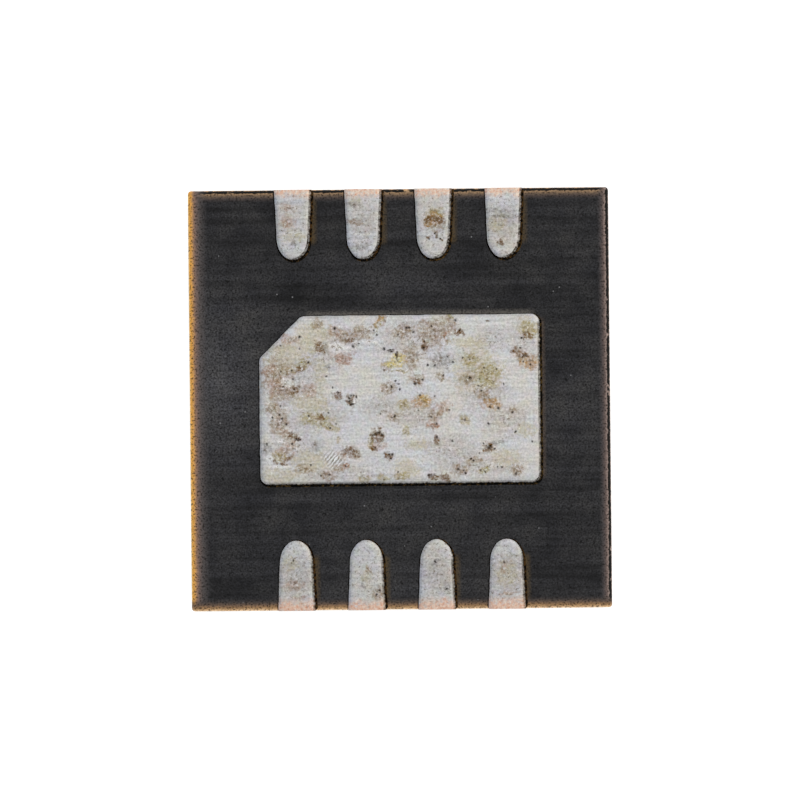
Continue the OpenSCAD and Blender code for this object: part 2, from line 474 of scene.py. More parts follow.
def own_copy(piece):
    """A copy of a piece that is free to be used up, with a mesh of its own."""
    copy = piece.copy()
    copy.data = piece.data.copy()
    copy.parent = None
    bpy.context.scene.collection.objects.link(copy)
    return copy


for piece in [paddle, *leads.values()]:
    cutter = own_copy(piece)
    with editing(cutter):
        cut_through((0, 0, mould_top - GROOVE_DEPTH), (0, 0, 1))
        cut_through((0, 0, mould_top + MERGE), (0, 0, 1), drop=True)
        pick("VERT", lambda vertex: vertex.co.z > mould_top)
        bpy.ops.transform.shrink_fatten(value=GROOVE_W, use_even_offset=True)
        bpy.ops.transform.resize(value=(1, 1, 0), center_override=(0, 0, mould_top + MERGE))
        bpy.ops.transform.translate(value=GROOVE_LEAN)
        for axis, reach in ((0, half_w), (1, half_l)):
            for way in (-1, 1):
                pick("FACE", lambda face: all(way * vertex.co[axis] > reach - NEAR for vertex in face.verts))
                pull = Vector((0, 0, 0))
                pull[axis] = way * SAW_OVERRUN
                bpy.ops.transform.translate(value=pull)
    combine(block, cutter, "DIFFERENCE")

inner_nodes = ["die_attach", "silicon_die"] + [f"bond_wire_{pin}" for pin in leads]
for name in inner_nodes:
    cutter = own_copy(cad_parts[name])
    with editing(cutter):
        bpy.ops.mesh.select_all(action="SELECT")
        bpy.ops.mesh.remove_doubles(threshold=MERGE)
    combine(block, cutter, "DIFFERENCE")

bpy.ops.object.select_all(action="DESELECT")
bpy.ops.mesh.primitive_cylinder_add(vertices=DOT_SIDES, radius=DOT_R, depth=2 * DOT_DEPTH,
                                    location=(DOT_INSET - half_w, half_l - DOT_INSET, 0))
dot = bpy.context.object
bpy.ops.object.transform_apply()
combine(block, dot, "DIFFERENCE")
describe(block)

# %% [markdown]
# ## Finishes
#
# Every finish is drawn by nodes that read where a point lies on the chip, in
# millimetres, so a pattern's size is a real size. One small function adds a
# node, one fills a socket with whatever it is given, and one turns an sRGB
# colour into the linear colour that shaders use. Some inputs are given by
# number: a map range takes a value from the range between inputs 1 and 2 to the
# one between 3 and 4, and a mix of colours goes from 6 to 7 as input 0 rises.

# %% Helpers for finishes
def colour(hex_code):
    """An sRGB hex value as a linear colour."""
    shares = [int(hex_code[at:at + 2], 16) / 255 for at in (1, 3, 5)]
    linear = [share / 12.92 if share <= 0.04045 else ((share + 0.055) / 1.055) ** 2.4 for share in shares]
    return (*linear, 1.0)


def fill(socket, value):
    """Fill a socket with an output, the first output in use of a node, a hex colour or a plain value."""
    if isinstance(value, bpy.types.bpy_prop_collection):
        value = next(output for output in value if output.enabled)
    if isinstance(value, bpy.types.NodeSocket):
        socket.id_data.links.new(value, socket)
    else:
        socket.default_value = colour(value) if isinstance(value, str) else value


def node(tree, kind, inputs, **settings):
    """Add a node, set it up, fill its inputs, and return its outputs."""
    made = tree.nodes.new("ShaderNode" + kind)
    for name, value in settings.items():
        setattr(made, name, value)
    for name, value in inputs.items():
        fill(made.inputs[name], value)
    return made.outputs


def new_finish(name):
    """A new material: itself, what adds its nodes, its shader, and the point being shaded in millimetres."""
    material = bpy.data.materials.new(name)
    material.use_nodes = True
    add = partial(node, material.node_tree)
    place = add("TexCoord", {})["Object"]
    millimetres = add("VectorMath", {0: place, "Scale": 1 / MM}, operation="SCALE")
    return material, add, material.node_tree.nodes["Principled BSDF"], millimetres


def feed(shader, **inputs):
    """Fill a shader's sockets, with _ for each space in a socket's name."""
    for name, value in inputs.items():
        fill(shader.inputs[name.replace("_", " ")], value)


# %% [markdown]
# ### Stains on the plating
#
# The tin has been handled and heated, and it is stained all over: broad dull
# films, cream and pink ones, tan drying marks, yellow and orange flux, brown and
# red oxide, grey smudges, bare patches and small dark pits. They could come from
# a noise pattern alone, but on this chip they lie in places that the eye knows
# again, so each is put down one by one, as a soft spot with its place, its half
# sizes and, where it lies askew, its turn in degrees. Places and sizes are in
# hundredths of a millimetre. Noise then frays every spot, so that none of them
# reads as an ellipse.

# %% Where the films lie
PER_MM = 100

FILMS = {
    "dull_film": [
        (-75, 10, 20, 16), (-60, -12, 22, 10), (-55, 28, 14, 10), (-74, -34, 18, 12),
        (-45, -52, 30, 5), (8, 42, 22, 12), (58, 8, 16, 16), (12, -10, 18, 10), (55, -48, 30, 6),
        (-42, 42, 14, 10), (88, 40, 8, 16), (-88, 34, 10, 10), (75, -15, 16, 12), (35, -36, 20, 10),
        (-12, -6, 14, 8), (66, 42, 14, 8), (75, -125, 14, 14), (25, -125, 10, 12), (-75, -125, 11, 12),
        (75, 125, 9, 10), (-25, 125, 8, 9),
    ],
    "cream_film": [
        (-82, 32, 13, 10), (-65, 40, 10, 6), (-60, 48, 12, 6), (-56, 20, 4, 10), (-85, -53, 12, 5),
        (4, -50, 8, 6), (92, 50, 6, 7), (75, -42, 10, 5), (50, 40, 12, 3), (-64, -2, 12, 6),
        (12, -32, 8, 4), (89, -23, 7, 5), (-66, -44, 14, 7), (55, 20, 16, 14), (-30, 141, 4, 3),
        (71, 125, 6, 5), (-75, 117, 8, 5), (75, -125, 7, 10), (-25, -125, 4, 5), (-80, -116, 5, 5),
    ],
    "drying_mark": [
        (-87, 19, 11, 8), (-84, 7, 10, 7), (-28, 47, 8, 4), (-39, 44, 6, 4), (3, 48, 7, 5),
        (8, 30, 6, 8), (25, 48, 11, 9), (35, 51, 6, 6), (-9, 24, 4, 3), (12, 14, 6, 4), (29, 15, 3, 3),
        (-90, -5, 6, 4), (-86, -15, 6, 8), (-69, -50, 6, 3), (-52, -54, 5, 3), (60, 2, 7, 4, -30),
        (-8, 8, 5, 4), (26, -10, 6, 3, 20), (42, -51, 6, 4), (52, -44, 5, 3), (-5, -12, 4, 3),
        (-58, 54, 4, 3), (-44, -50, 4, 3), (86, 30, 4, 4), (82, -51, 4, 4), (80, -9, 3, 3),
        (49, 15, 4, 4), (-31, 127, 4, 2), (-24, -120, 3, 2), (-79, 126, 3, 2), (-17, -138, 3, 4),
        (27, 126, 7, 6),
    ],
    "pink_film": [
        (-77, 44, 7, 3), (-86, 11, 8, 6), (-64, 7, 5, 4), (-46, 48, 5, 4), (-11, 57, 2, 4),
        (-82, -25, 4, 5), (-79, -32, 4, 3), (-83, -37, 6, 3), (-42, -40, 3, 4, 45), (31, -6, 4, 4),
        (24, -17, 4, 4), (-15, -33, 4, 3), (-93, 22, 4, 3), (-79, 127, 5, 4), (-78, 137, 6, 3),
        (73, -121, 2, 5), (-77, -131, 6, 3), (-74, -140, 6, 1), (76, -139, 7, 1),
    ],
    "flux": [
        (-69, 25, 7, 3, 40), (-15, 54, 6, 2, 65), (0, 20, 5, 1), (50, 27, 5, 4), (63, 18, 8, 7),
        (64, 11, 5, 4), (92, 49, 5, 6), (-60, -13, 9, 4), (-51, -19, 7, 3, -20), (-44, -28, 2, 2),
        (3, -4, 4, 3), (4, -22, 3, 3), (46, -15, 4, 3), (-21, -31, 2, 5), (-13, -56, 4, 3),
        (-25, -57, 4, 2), (59, -51, 3, 2), (0, -55, 5, 2), (36, 58, 2, 2), (-87, -40, 5, 3),
        (26, 133, 6, 3),
    ],
    "yellow_flux": [
        (-2, 28, 5, 4), (-6, 25, 4, 2), (18, 0, 3, 3),
    ],
    "orange_flux": [
        (17, -2, 6, 5), (65, -4, 6, 4), (93, 26, 6, 5), (-15, 56, 1, 4, -25), (25, 128, 6, 4),
        (21, 125, 3, 2),
    ],
    "brown_oxide": [
        (-35, 42, 3, 2), (-56, 37, 6, 3, -25), (-71, 22, 3, 2, 40), (-75, 7, 3, 3), (-44, 3, 3, 3),
        (-35, 0, 3, 4), (-76, -26, 4, 3), (-35, -37, 6, 4, -20), (-16, -26, 4, 4), (-18, -35, 3, 2),
        (-8, -40, 3, 3), (26, -29, 2, 3), (63, -34, 4, 3), (18, 38, 2, 4), (43, 47, 3, 2),
        (90, 44, 4, 2), (82, 34, 2, 2), (88, 31, 4, 2), (63, 55, 1, 1), (-90, -44, 2, 1, -20),
        (-84, -45, 3, 1), (-80, -42, 2, 1, 30), (25, -56, 5, 2), (32, -57, 3, 2), (-56, -12, 2, 3),
        (12, 13, 3, 2), (22, 128, 3, 2), (29, 127, 4, 2), (26, 117, 1, 2), (30, 114, 2, 1, -40),
        (22, 114, 1, 1), (73, 111, 2, 2),
    ],
    "red_oxide": [
        (-40, 30, 7, 4), (-36, 29, 3, 3), (-39, -48, 2, 2), (33, 45, 1, 2), (24, -18, 3, 2),
    ],
    "smudge": [
        (29, 27, 8, 5), (-95, -34, 3, 4), (-60, -33, 3, 3), (70, -31, 5, 1), (-51, 24, 2, 1),
        (13, 32, 1, 3), (46, 35, 1, 1), (75, 133, 12, 1), (75, 129, 12, 1), (-74, 111, 2, 2),
        (32, -135, 3, 3), (24, -116, 3, 2), (-31, 139, 4, 2), (-26, 109, 5, 2), (-27, -133, 2, 2),
    ],
    "bare_patch": [
        (-43, 37, 7, 3), (-80, 13, 3, 3), (-85, -47, 5, 1), (-33, 0, 1, 2), (-85, -29, 2, 2),
        (-94, -42, 2, 2), (65, -49, 1, 2), (92, 33, 1, 1), (-19, 40, 9, 1), (46, -57, 2, 1),
        (-75, 119, 10, 1), (-24, 118, 10, 1), (-72, 137, 2, 2),
    ],
    "scorch": [
        (22, -54, 3, 1, 10), (-6, 35, 2, 1), (-2, 32, 1, 3), (89, 30, 2, 1), (-73, -28, 2, 1),
        (-17, -24, 3, 1, 20), (63, -35, 2, 1, -30),
    ],
}
print("films put down:", sum(map(len, FILMS.values())))

# %% Where the pits lie, under each radius in millimetres
PITS = {
    0.01: [
        (-36, 1), (-36, -1), (-35, -3), (-46, 51), (-33, 38), (-71, 45), (-11, 36), (5, 51), (17, 37),
        (11, 11), (40, 56), (50, 15), (-13, -25), (70, -7), (63, -18), (64, -34), (41, -50), (46, -53),
        (82, -54),
    ],
    0.007: [
        (-35, 3), (-34, -3), (-33, -3), (-33, 3), (-31, 2), (-71, 37), (-85, 39), (-77, 21), (-76, 15),
        (-75, 8), (-83, 10), (-85, 21), (-65, 27), (-52, 17), (-48, 9), (-44, 5), (-29, 40), (-18, 49),
        (-16, 46), (-11, 21), (7, 51), (-1, 46), (10, 48), (23, 52), (18, 41), (16, 14), (31, 17),
        (-3, 13), (-1, 11), (0, 7), (-6, 9), (14, 3), (25, 2), (20, 24), (25, 24), (34, 30), (38, 26),
        (43, 49), (60, 22), (69, 21), (57, 14), (56, 9), (58, 6), (74, 10), (50, 28), (45, 29),
        (87, 43), (86, 36), (88, 26), (93, 24), (-85, -4), (-86, -10), (-91, -12), (-84, -13),
        (-81, -17), (-77, -31), (-95, -31), (-64, -46), (-57, -54), (-51, -53), (-39, -47), (-65, -11),
        (-51, -9), (-46, -17), (-50, -20), (-14, -10), (-6, -13), (-4, -12), (-18, -34), (-8, -39),
        (-6, -39), (-7, -42), (-2, -52), (13, -8), (22, -13), (35, -8), (26, -18), (26, -27), (64, -6),
        (46, -15), (82, -24), (37, -30), (67, -36), (59, -32), (56, -39), (50, -43), (52, -44),
        (45, -51), (57, -51), (60, -52), (69, -49), (72, -49), (94, -31), (80, -10), (26, 118),
        (22, 114), (30, 114), (-18, -139), (-16, -136), (-77, -114), (24, -116), (32, -135),
        (73, -117),
    ],
}
print("pits put down:", sum(map(len, PITS.values())))

# %% [markdown]
# ### Matte tin plating
#
# The soldering faces are copper with a few micrometres of matte tin on it. Tin
# of that kind is a pale grey metal that scatters what it mirrors, with a fine
# grain and faint lines along the way that the strip was brushed. Its tint
# shifts from bluish to cream, from grain to grain and over wider patches. The
# leads are a little duller than the pad, and the pad's edges and the sloping
# rings of the crown are painted darker, which is painted shade. The real grain
# is finer than a pixel, so it is drawn as coarse as shows.

# %% The bare tin
TIN_GRAIN = 0.016
BRUSH_LENGTH = 0.3
BRUSH_SPACING = 0.02
TINT_PATCH = 0.25
PAD_EDGE_SHADE_REACH = 0.07
EDGE_SHADE_AND_DULLNESS = 0.87
TIN_RELIEF = 0.0004 * MM

tin, add, shader, here = new_finish("matte_tin_plating")
flat = add("VectorMath", {0: here, 1: (1, 1, 0)}, operation="MULTIPLY")
grain = add("TexNoise", {"Vector": flat, "Scale": 1 / TIN_GRAIN, "Detail": 4, "Roughness": 0.65})
brushed = add("Mapping", {"Vector": flat, "Scale": (1 / BRUSH_LENGTH, 1 / BRUSH_SPACING, 1)})
lines = add("TexNoise", {"Vector": brushed, "Scale": 1, "Detail": 3})
texture = add("Math", {0: lines, 1: 0.45, 2: grain}, operation="MULTIPLY_ADD")
patches = add("TexNoise", {"Vector": flat, "Scale": 1 / TINT_PATCH, "Detail": 3})
cream = add("MapRange", {"Value": patches, 1: 0.42, 2: 0.62})
shade = add("Mix", {0: cream, 6: "#e7e8eb", 7: "#eae7e1"}, data_type="RGBA")
size = add("SeparateXYZ", {0: add("VectorMath", {0: here}, operation="ABSOLUTE")})
# Painted shade: darker within a short reach of the pad's edge; past it, on the leads, evenly duller
from_end = add("Math", {0: PAD_W / 2 / MM, 1: size["X"]}, operation="SUBTRACT")
from_side = add("Math", {0: pad_l / 2 / MM, 1: size["Y"]}, operation="SUBTRACT")
from_edge = add("Math", {0: from_end, 1: from_side}, operation="MINIMUM")
pad_edge_shade_leads_dull = add("MapRange", {"Value": from_edge, 2: PAD_EDGE_SHADE_REACH, 3: EDGE_SHADE_AND_DULLNESS, 4: 1.0})
# Painted shade: the sloping rings of the crown are darker the more they tip
slope = add("SeparateXYZ", {0: add("TexCoord", {})["Normal"]})
crown_shade = add("MapRange", {"Value": slope["Z"], 1: 0.9, 2: 0.99, 3: EDGE_SHADE_AND_DULLNESS, 4: 1.0})

# %% [markdown]
# A stain is a thin film that has dried into specks: its border is ragged and
# denser than its middle, and between the specks the tin shows through. So the
# place where a film is looked up is pushed about by a fine and a coarse noise,
# its border is broken by a third, and a speckle nearly as fine as the tin's own
# grain says how much of the tin it covers. Scorch marks are thin strokes, so
# they take the fine push alone.

# %% The films on the tin
# For each kind, its colour, its density, and how far specks gather in it
FILM_LOOKS = {
    "dull_film": ("#b2a49c", 0.55, 0.8),
    "cream_film": ("#d4caaa", 0.9, 0.6),
    "drying_mark": ("#a38866", 1.0, 1.0),
    "pink_film": ("#c2a28e", 0.9, 1.0),
    "flux": ("#b4a46a", 1.1, 1.0),
    "yellow_flux": ("#ead888", 1.2, 1.0),
    "orange_flux": ("#c0904a", 1.1, 1.0),
    "brown_oxide": ("#7a5628", 1.4, 1.0),
    "red_oxide": ("#ae7a5c", 1.1, 1.0),
    "smudge": ("#a4a09f", 1.1, 1.0),
    "bare_patch": ("#fdfcfa", 1.3, 1.0),
    "scorch": ("#3c2a18", 1.7, 1.0),
}
SPOT_SPREAD = 2.1
FRAY = ((0.02, 0.012), (0.08, 0.04))
BORDER_GRAIN = 0.03
SPECKLE = 0.024
SPECKLE_SHIFT = (7, 3, 0)


def soft_spot(add, place, x, y, across, along, turn=0, fall="SPHERICAL"):
    """A field that is one in the middle of a spot and fades to nothing at its border."""
    moved = add("Mapping", {"Vector": place, "Location": (x, y, 0), "Scale": (across, along, 1),
                            "Rotation": (0, 0, math.radians(turn))}, vector_type="TEXTURE")
    return add("TexGradient", {"Vector": moved}, gradient_type=fall)["Fac"]


frayed = flat
for grain_size, reach in FRAY:
    push = add("TexNoise", {"Vector": flat, "Scale": 1 / grain_size, "Detail": 2})["Color"]
    push = add("VectorMath", {0: push, 1: (0.5, 0.5, 0.5)}, operation="SUBTRACT")
    push = add("VectorMath", {0: push, 1: (2 * reach, 2 * reach, 0)}, operation="MULTIPLY")
    slightly = frayed
    frayed = add("VectorMath", {0: frayed, 1: push}, operation="ADD")
ragged = add("TexNoise", {"Vector": flat, "Scale": 1 / BORDER_GRAIN, "Detail": 4, "Roughness": 0.7})
elsewhere = add("VectorMath", {0: flat, 1: SPECKLE_SHIFT}, operation="ADD")
speckle = add("TexNoise", {"Vector": elsewhere, "Scale": 1 / SPECKLE, "Detail": 5, "Roughness": 0.75})
film = add("MapRange", {"Value": speckle, 1: 0.4, 2: 0.68, 3: 0.3, 4: 1.0})
stained = 0.0
for kind, spots in FILMS.items():
    film_colour, density, gathers = FILM_LOOKS[kind]
    field = 0.0
    place = slightly if kind == "scorch" else frayed
    for spot in spots:
        x, y, across, along = (length / PER_MM for length in spot[:4])
        height = soft_spot(add, place, x, y, SPOT_SPREAD * across, SPOT_SPREAD * along, *spot[4:])
        field = add("Math", {0: field, 1: height}, operation="MAXIMUM")
    border = add("Math", {0: ragged, 1: 1.3, 2: field}, operation="MULTIPLY_ADD")
    cover = add("MapRange", {"Value": border, 1: 0.95, 2: 1.35, 4: density}, interpolation_type="SMOOTHSTEP")
    thinner = add("MapRange", {"Value": border, 1: 1.4, 2: 1.8, 3: 1.0, 4: 0.7})
    cover = add("Math", {0: cover, 1: thinner}, operation="MULTIPLY")
    cover = add("Math", {0: cover, 1: film}, operation="MULTIPLY", use_clamp=True)
    shade = add("Mix", {0: cover, 6: shade, 7: film_colour}, data_type="RGBA")
    field = add("Math", {0: field, 1: gathers}, operation="MULTIPLY")
    stained = add("Math", {0: stained, 1: field}, operation="MAXIMUM")

# %% [markdown]
# Dark specks of oxide lie all over the leads, but on the pad they gather in the
# stains and are rare elsewhere, so they come from a rough noise whose threshold
# rises with the stain. Pale flecks are the other end of the same noise. The pits
# have places of their own, and the noise only makes them uneven. One patch of
# parallel scratches lies near the lower edge, where the pad was nicked.

# %% Specks, pits and scratches
SPECK = 0.022
LEAD_SPECKS = 0.6
LEAD_ROWS = (0.8, 0.9)
NICK = (-0.48, -0.42, 0.09, 0.09)
NICK_SPACING = 0.022
NICK_TURN = 40

row_start, row_full = LEAD_ROWS
on_leads = add("MapRange", {"Value": size["Y"], 1: row_start, 2: row_full, 4: LEAD_SPECKS})
stained = add("Math", {0: stained, 1: on_leads}, operation="MAXIMUM")
specks = add("TexNoise", {"Vector": elsewhere, "Scale": 1 / SPECK, "Detail": 4, "Roughness": 0.75})
dark = add("Math", {0: stained, 1: -0.2, 2: specks}, operation="MULTIPLY_ADD")
dark = add("MapRange", {"Value": dark, 1: 0.31, 2: 0.25, 4: 0.7})
shade = add("Mix", {0: dark, 6: shade, 7: "#7e6e56"}, data_type="RGBA")
bright = add("Math", {0: stained, 1: 0.1, 2: specks}, operation="MULTIPLY_ADD")
bright = add("MapRange", {"Value": bright, 1: 0.62, 2: 0.72, 4: 0.8})
shade = add("Mix", {0: bright, 6: shade, 7: "#fdfcfa"}, data_type="RGBA")

for radius, places in PITS.items():
    gap = 1.0
    for x, y in places:
        pit = (x / PER_MM, y / PER_MM, 0)
        distance = add("VectorMath", {0: slightly, 1: pit}, operation="DISTANCE")
        gap = add("Math", {0: gap, 1: distance}, operation="MINIMUM")
    deep = add("MapRange", {"Value": gap, 1: 1.5 * radius, 2: 0.4 * radius, 4: 0.93})
    shade = add("Mix", {0: deep, 6: shade, 7: "#20150a"}, data_type="RGBA")

nicked = soft_spot(add, frayed, *NICK)
askew = add("Mapping", {"Vector": slightly, "Rotation": (0, 0, math.radians(NICK_TURN))})
strokes = add("SeparateXYZ", {0: askew})["X"]
strokes = add("Math", {0: strokes, 1: 2 * math.pi / NICK_SPACING}, operation="MULTIPLY")
strokes = add("Math", {0: strokes}, operation="SINE")
for way, stroke_colour in ((1, "#ffffff"), (-1, "#8a7d6c")):
    cut = add("MapRange", {"Value": strokes, 1: 0.2 * way, 2: 0.8 * way})
    cut = add("Math", {0: cut, 1: nicked}, operation="MULTIPLY")
    cut = add("Math", {0: cut, 1: 1.2}, operation="MULTIPLY", use_clamp=True)
    shade = add("Mix", {0: cut, 6: shade, 7: stroke_colour}, data_type="RGBA")

# %% [markdown]
# The grain of the tin lies over films and bare metal alike, and it varies in
# tint as well as in tone, so it is laid on now. The painted shade of the pad's
# edges and of the crown, and the dullness of the leads, come with it.

# %% The grain over everything
HUE_PATCH = 0.05

hues = add("TexNoise", {"Vector": flat, "Scale": 1 / HUE_PATCH, "Detail": 4})["Color"]
motley = add("VectorMath", {0: hues, 1: (0.2, 0.14, 0.26), 2: (0.9, 0.93, 0.87)}, operation="MULTIPLY_ADD")
shade = add("VectorMath", {0: shade, 1: motley}, operation="MULTIPLY")
tone = add("MapRange", {"Value": texture, 1: 0.525, 2: 0.925, 3: 0.66, 4: 1.11})
for darkening in (pad_edge_shade_leads_dull, crown_shade):
    tone = add("Math", {0: tone, 1: darkening}, operation="MULTIPLY")
shade = add("VectorMath", {0: shade, "Scale": tone}, operation="SCALE")

# %% [markdown]
# Near the saw cut the blade has dragged the tin off, and pinkish copper shows
# through. It fades into the tin over less than a tenth of a millimetre, with a
# frayed and grainy border, and reaches further in along the lower side. On the
# right and below, the steep outer ring of the crown is painted dark in patches:
# painted shade on the faces that slope that way.

# %% The worn ends of the leads and the painted shade on the edges
# For the upper and the lower side, how far bare copper reaches in, and its dull and bright tints
COPPER_LOOKS = {1: (0.065, "#e2a080", "#fcf2e2"), -1: (0.095, "#d89270", "#fae6d4")}
BARE_END = 0.01
SHADED_SIDE = (0.75, -0.65, 0)

lengthwise = add("SeparateXYZ", {0: frayed})["Y"]
patchy = add("MapRange", {"Value": speckle, 1: 0.36, 2: 0.6, 3: 0.15, 4: 1.0})
flecks = add("MapRange", {"Value": specks, 1: 0.3, 2: 0.65})
for way, (reach, dull, bright) in COPPER_LOOKS.items():
    toward = add("Math", {0: lengthwise, 1: way}, operation="MULTIPLY")
    bared = add("MapRange", {"Value": toward, 1: half_l / MM - reach, 2: half_l / MM - BARE_END, 4: 1.8})
    bared = add("Math", {0: bared, 1: patchy}, operation="MULTIPLY", use_clamp=True)
    metal = add("Mix", {0: flecks, 6: dull, 7: bright}, data_type="RGBA")
    shade = add("Mix", {0: bared, 6: shade, 7: metal}, data_type="RGBA")
# Painted shade: faces that slope to the right and down are darkened, in patches
facing = add("VectorMath", {0: add("TexCoord", {})["Normal"], 1: SHADED_SIDE}, operation="DOT_PRODUCT")
painted_edge_shade = add("MapRange", {"Value": facing, 1: 0.2, 2: 0.32, 4: 1.2})
painted_edge_shade = add("Math", {0: painted_edge_shade, 1: patchy}, operation="MULTIPLY", use_clamp=True)
shade = add("Mix", {0: painted_edge_shade, 6: shade, 7: "#2a2014"}, data_type="RGBA")
gloss = add("MapRange", {"Value": grain, 1: 0.3, 2: 0.7, 3: 0.36, 4: 0.5})
relief = add("Bump", {"Height": texture, "Strength": 1, "Distance": TIN_RELIEF})
feed(shader, Base_Color=shade, Roughness=gloss, Normal=relief, Metallic=1)
print("nodes in the tin:", len(tin.node_tree.nodes))

# %% [markdown]
# ### Copper
#
# Where the frame isn't plated it is bare copper alloy: the faces that lie in
# the resin, and the ends of leads and tie bars that the saw cut through. The
# blade runs along the side, so it leaves fine level scratches.

# %% Sawn copper alloy
SAW_LINE = 0.008
SAW_LINE_LENGTH = 0.3
SAW_RELIEF = 0.0006 * MM
TARNISH_PATCH = 0.06

copper, add, shader, here = new_finish("sawn_copper_alloy")
saw_scale = (1 / SAW_LINE_LENGTH, 1 / SAW_LINE_LENGTH, 1 / SAW_LINE)
level = add("Mapping", {"Vector": here, "Scale": saw_scale})
scratches = add("TexNoise", {"Vector": level, "Scale": 1, "Detail": 2})
tarnish = add("TexNoise", {"Vector": here, "Scale": 1 / TARNISH_PATCH, "Detail": 3})
tarnish = add("Math", {0: scratches, 1: tarnish}, operation="ADD")
tarnish = add("MapRange", {"Value": tarnish, 1: 0.8, 2: 1.2})
shade = add("Mix", {0: tarnish, 6: "#e0a583", 7: "#b9805f"}, data_type="RGBA")
gloss = add("MapRange", {"Value": scratches, 1: 0.3, 2: 0.7, 3: 0.25, 4: 0.45})
relief = add("Bump", {"Height": scratches, "Strength": 1, "Distance": SAW_RELIEF})
feed(shader, Base_Color=shade, Roughness=gloss, Normal=relief, Metallic=1)

# %% [markdown]
# ### Black mould compound
#
# The block is epoxy resin, black with carbon and packed with fine silica. Its
# moulded face is dull and almost black, with a fine grain, faint level streaks
# from the film in the mould, a few pale grains of silica, and paler clouds
# towards the middle of the sides, most of all on the left, which are a painted sheen.

# %% The moulded face
STREAK_LENGTH = 1.2
STREAK_WIDTH = 0.05
RESIN_GRAIN = 0.013
BLOTCH = 0.2
SILICA_SPACING = 0.13
PORE = 0.02
RESIN_RELIEF = 0.0015 * MM
# For each cloud of painted sheen, its place, its half sizes and its density
PAINTED_SHEEN = [(-1.3, 0.15, 0.75, 1.1, 1.9), (1.25, -0.05, 0.5, 0.8, 0.5), (0, 0.8, 0.9, 0.4, 0.5),
        (0, -0.8, 0.9, 0.4, 0.25), (0, -1.35, 1.4, 0.4, 0.6), (-0.7, 0.75, 0.35, 0.35, -0.3)]

moulded, add, shader, here = new_finish("moulded_black_epoxy")
flat = add("VectorMath", {0: here, 1: (1, 1, 0)}, operation="MULTIPLY")
long_way = add("Mapping", {"Vector": here, "Scale": (1 / STREAK_LENGTH, 1 / STREAK_WIDTH, 1)})
streaks = add("TexNoise", {"Vector": long_way, "Scale": 1, "Detail": 3})
grain = add("TexNoise", {"Vector": here, "Scale": 1 / RESIN_GRAIN, "Detail": 3, "Roughness": 0.6})
blotches = add("TexNoise", {"Vector": here, "Scale": 1 / BLOTCH, "Detail": 3})
cloudy = add("Math", {0: streaks, 1: 1.2, 2: blotches}, operation="MULTIPLY_ADD")
mottle_and_sheen = add("MapRange", {"Value": cloudy, 1: 0.8, 2: 1.4, 3: 0.45, 4: 1.55})
# Painted sheen: paler clouds over the face, strongest towards the left side
for x, y, across, along, density in PAINTED_SHEEN:
    sheen_cloud = soft_spot(add, flat, x, y, across, along, fall="QUADRATIC_SPHERE")
    mottle_and_sheen = add("Math", {0: sheen_cloud, 1: density, 2: mottle_and_sheen}, operation="MULTIPLY_ADD")
bitty = add("MapRange", {"Value": grain, 1: 0.3, 2: 0.7, 3: 0.1, 4: 1.9})
pores = add("TexNoise", {"Vector": here, "Scale": 1 / PORE, "Detail": 2})
porous = add("MapRange", {"Value": pores, 1: 0.3, 2: 0.37, 3: 0.1, 4: 1.0})
for unevenness in (bitty, porous):
    mottle_and_sheen = add("Math", {0: mottle_and_sheen, 1: unevenness}, operation="MULTIPLY")
tint = add("Mix", {0: blotches, 6: "#28292f", 7: "#2c2b29"}, data_type="RGBA")
shade = add("VectorMath", {0: tint, "Scale": mottle_and_sheen}, operation="SCALE")
silica = add("TexVoronoi", {"Vector": here, "Scale": 1 / SILICA_SPACING})
speck = add("MapRange", {"Value": silica["Distance"], 1: 0.05, 2: 0.03})
shade = add("Mix", {0: speck, 6: shade, 7: "#808083"}, data_type="RGBA")

# %% [markdown]
# A thin film of brown flux has stayed on the resin to the right of each lead
# and of the pad, and a grey one above the pad. Each follows a straight edge of
# the metal and fades within a few hundredths of a millimetre, so it is the
# product of two ranges: one across the edge and one along it. A third range
# keeps it to the upper face, because the face below is the same resin.

# %% The flux beside the metal
FACE_DEPTH = 0.04
FLUX_REACH = 0.045
LEAD_ROW_END = 1.0
LEAD_FLUX = 0.36
PAD_FLUX_INSET = 0.06
PAD_FLUX_REACH = 0.78

axes = add("SeparateXYZ", {0: here})
face_z = mould_top / MM
upper = add("MapRange", {"Value": axes["Z"], 1: face_z - FACE_DEPTH, 2: face_z - FACE_DEPTH / 2})
lead_pitch = (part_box("lead_2")[0].x - lead_low.x) / MM
in_row = add("Clamp", {"Value": axes["X"], "Min": -LEAD_ROW_END, "Max": LEAD_ROW_END})
in_row = add("Math", {0: in_row, 1: lead_pitch / 2}, operation="SUBTRACT")
across_lead = add("Math", {0: in_row, 1: lead_pitch / 2, 2: -lead_pitch / 2}, operation="WRAP")
from_middle = add("Math", {0: axes["Y"]}, operation="ABSOLUTE")
# For each film its colour, then across and along the edge: what is measured, its middle, its half width
flux_bands = [
    ("#54452d", (across_lead, lead_w / 2 / MM, 0), (from_middle, half_l / MM, LEAD_FLUX)),
    ("#5f5146", (axes["X"], PAD_W / 2 / MM, 0), (axes["Y"], 0, pad_l / 2 / MM - PAD_FLUX_INSET)),
    ("#625e59", (axes["Y"], pad_l / 2 / MM, 0), (axes["X"], PAD_CHAMFER / 2 / MM, PAD_FLUX_REACH)),
]
for flux_colour, *ranges in flux_bands:
    cover = add("Math", {0: bitty, 1: upper}, operation="MULTIPLY")
    for value, middle, reach in ranges:
        gap = add("Math", {0: value, 1: middle}, operation="SUBTRACT")
        gap = add("Math", {0: gap}, operation="ABSOLUTE")
        fade = add("MapRange", {"Value": gap, 1: reach + FLUX_REACH, 2: reach})
        cover = add("Math", {0: cover, 1: fade}, operation="MULTIPLY", use_clamp=True)
    shade = add("Mix", {0: cover, 6: shade, 7: flux_colour}, data_type="RGBA")

